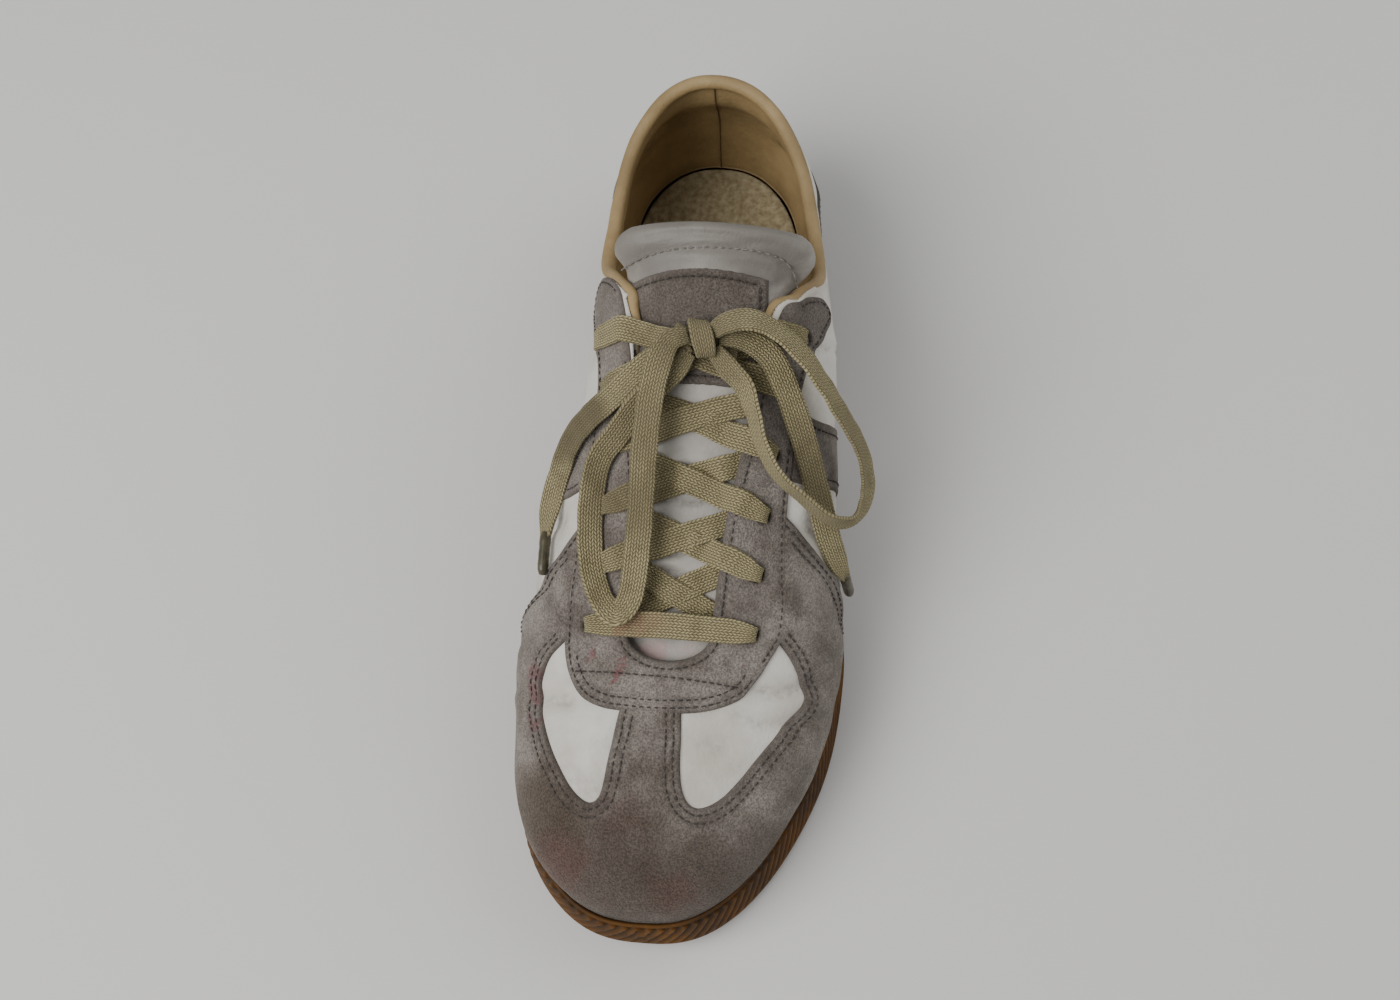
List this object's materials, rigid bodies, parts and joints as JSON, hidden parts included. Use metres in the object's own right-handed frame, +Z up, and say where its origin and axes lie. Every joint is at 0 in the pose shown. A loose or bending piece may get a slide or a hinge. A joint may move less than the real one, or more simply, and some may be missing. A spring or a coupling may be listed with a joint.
{
  "type": "worn low-top court sneaker",
  "caption": "Low-top court sneaker for a left foot: hollow leather upper, padded tongue, rubber cupsole, insole and flat laces tied in a bow.",
  "frame": {"origin": "middle of the shoe's length and width, on the ground it stands on", "axes": "+X towards the toe, +Y towards the outer side of the left foot, +Z up"},
  "size_m": [0.292, 0.1152, 0.1186],
  "materials": {
    "sole": "gum rubber cupsole, satin, dirty in its ribs",
    "upper": "white smooth leather with soft wear creases, worn warm grey suede overlays",
    "tongue": "padded white leather with a bare stitched suede patch",
    "insole": "foam sock with a woven cover, worn",
    "lace": "flat herringbone-woven cotton, olive beige, soft",
    "aglet": "dark brown crimped plastic film"
  },
  "bodies": {
    "root": {"sole": "sole", "upper": "upper", "tongue": "tongue", "insole": "insole", "lace_bar": "lace", "lace_cross_1": "lace", "lace_cross_2": "lace", "lace_cross_3": "lace", "lace_cross_4": "lace", "lace_cross_5": "lace", "lace_tail_medial": "lace", "lace_tail_lateral": "lace", "lace_knot": "lace", "lace_loop_medial": "lace", "lace_loop_lateral": "lace", "lace_end_medial": "lace", "lace_end_lateral": "lace", "aglet_medial": "aglet", "aglet_lateral": "aglet"}
  },
  "joints": []
}
